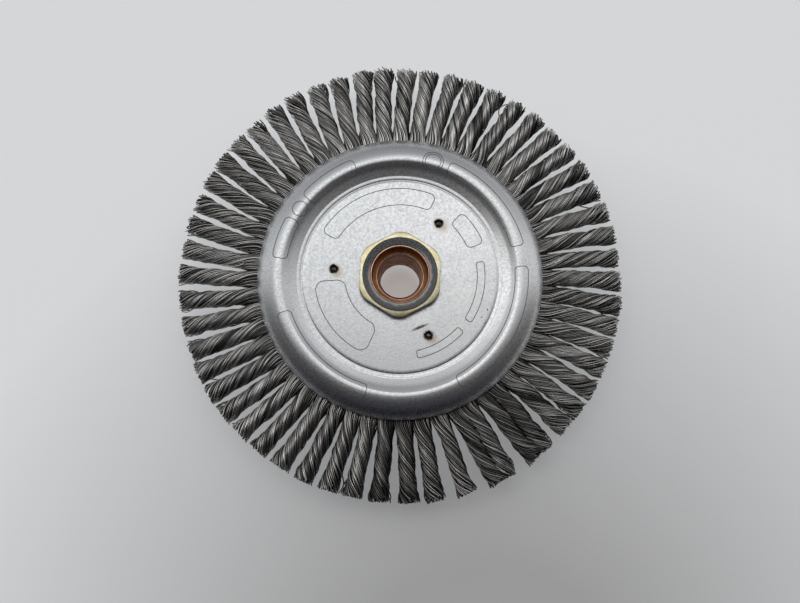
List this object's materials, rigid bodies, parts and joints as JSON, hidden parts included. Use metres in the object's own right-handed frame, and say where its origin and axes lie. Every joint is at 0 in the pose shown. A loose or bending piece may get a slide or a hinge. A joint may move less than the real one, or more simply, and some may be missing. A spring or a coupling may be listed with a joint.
{
  "type": "twisted knot wire wheel brush",
  "caption": "Narrow wire wheel brush with twisted knots of steel wire, clamped between pressed plates on a threaded hex hub.",
  "frame": {"origin": "on the wheel's axis, at the back face of the hub, where the wheel rests when it lies flat", "axes": "+Z along the wheel's axis, out of the front with the hex nut; +Y towards the first knot; +X completes a right-handed frame"},
  "size_m": [0.1525, 0.152, 0.0196],
  "materials": {
    "front_plate_zinc": "zinc plated pressed steel, satin, worn",
    "back_plate_zinc": "zinc plated pressed steel, satin, worn",
    "ring_steel": "bare steel, drilled",
    "spacer_steel": "bare steel, turned",
    "nut_chromate": "steel, yellow chromate, dark worn face",
    "sleeve_copper_plate": "steel, copper plated",
    "knot_wire": "bare carbon steel wire, twisted"
  },
  "bodies": {
    "root": {"front_plate": "front_plate_zinc", "back_plate": "back_plate_zinc", "retaining_ring": "ring_steel", "hub_spacer": "spacer_steel", "hub_nut": "nut_chromate", "hub_sleeve": "sleeve_copper_plate", "knot_01": "knot_wire", "knot_02": "knot_wire", "knot_03": "knot_wire", "knot_04": "knot_wire", "knot_05": "knot_wire", "knot_06": "knot_wire", "knot_07": "knot_wire", "knot_08": "knot_wire", "knot_09": "knot_wire", "knot_10": "knot_wire", "knot_11": "knot_wire", "knot_12": "knot_wire", "knot_13": "knot_wire", "knot_14": "knot_wire", "knot_15": "knot_wire", "knot_16": "knot_wire", "knot_17": "knot_wire", "knot_18": "knot_wire", "knot_19": "knot_wire", "knot_20": "knot_wire", "knot_21": "knot_wire", "knot_22": "knot_wire", "knot_23_24": "knot_wire", "knot_25_26": "knot_wire", "knot_27": "knot_wire", "knot_28": "knot_wire", "knot_29": "knot_wire", "knot_30": "knot_wire", "knot_31": "knot_wire", "knot_32": "knot_wire", "knot_33": "knot_wire", "knot_34": "knot_wire", "knot_35": "knot_wire", "knot_36": "knot_wire", "knot_37": "knot_wire", "knot_38": "knot_wire", "knot_39": "knot_wire", "knot_40": "knot_wire", "knot_41": "knot_wire", "knot_42": "knot_wire", "knot_43": "knot_wire", "knot_44": "knot_wire", "knot_45": "knot_wire", "knot_46": "knot_wire", "knot_47": "knot_wire", "knot_48": "knot_wire", "knot_49": "knot_wire", "knot_50": "knot_wire", "knot_51": "knot_wire", "knot_52": "knot_wire", "knot_53": "knot_wire", "knot_54": "knot_wire", "knot_55": "knot_wire", "knot_56": "knot_wire"}
  },
  "joints": []
}
